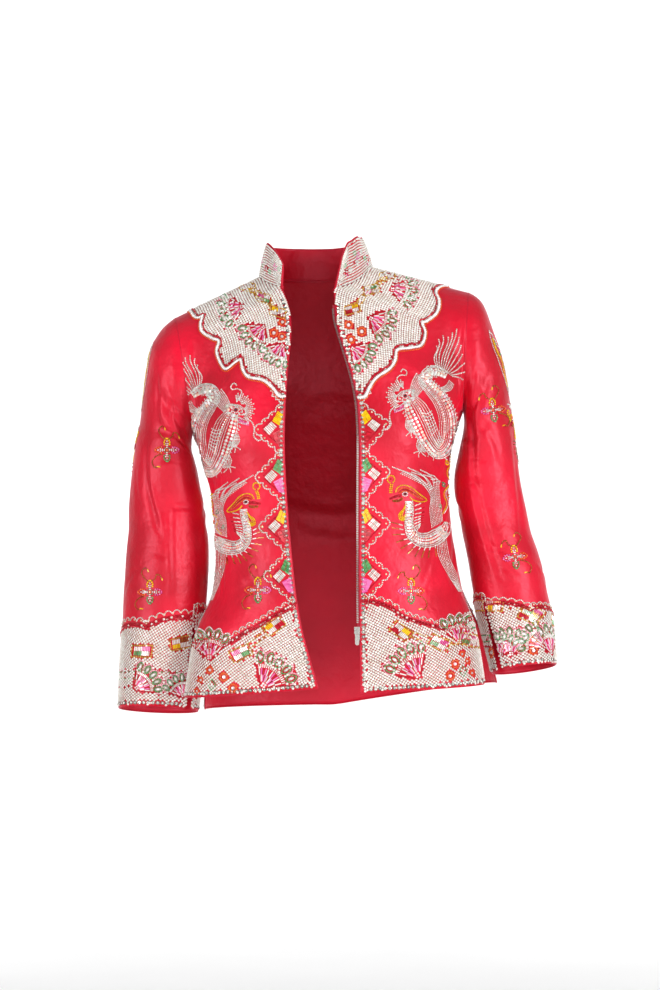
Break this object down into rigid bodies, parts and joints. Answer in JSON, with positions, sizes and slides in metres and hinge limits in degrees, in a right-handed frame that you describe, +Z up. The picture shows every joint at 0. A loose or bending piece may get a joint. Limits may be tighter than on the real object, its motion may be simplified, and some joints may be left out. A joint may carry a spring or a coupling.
{
  "type": "dragon jacket",
  "caption": "Short fitted satin jacket with a beaded stand collar, yoke, cuffs and hem, worn open with its sleeves hanging and an undone zip.",
  "frame": {"origin": "middle of the neck, level with the inner ends of the shoulder seams, where the wearer's neck and shoulders hold the jacket", "axes": "+Z up along the body, the wearer faces -Y, the wearer's left arm is at +X"},
  "size_m": [0.591, 0.2687, 0.6447],
  "materials": {
    "satin": "red satin with a soft sheen",
    "bead_ground": "sewn ground of ivory seed beads",
    "zip_tape": "matt woven tape",
    "zip_metal": "nickel plated, a little worn",
    "silver_beads": "silver-lined glass beads and sequins",
    "gold_beads": "gold metallic beads",
    "coloured_beads": "glossy opaque beads in green, pink, orange, yellow and red"
  },
  "bodies": {
    "jacket": {"front_right": "satin", "front_left": "satin", "back": "satin", "sleeve_right": "satin", "sleeve_left": "satin", "collar": "bead_ground", "collar_facing": "satin", "zip_tape_right": "zip_tape", "zip_tape_left": "zip_tape", "zip_slider": "zip_metal", "zip_box": "zip_metal"},
    "zip_pull": {"zip_pull": "zip_metal"}
  },
  "joints": [
    {"name": "pull_hinge", "type": "hinge", "parent": "jacket", "child": "zip_pull", "pos_m": [0.05465, -0.12105, -0.47883], "axis": [-1, 0, 0], "range_deg": [0, 170]}
  ]
}
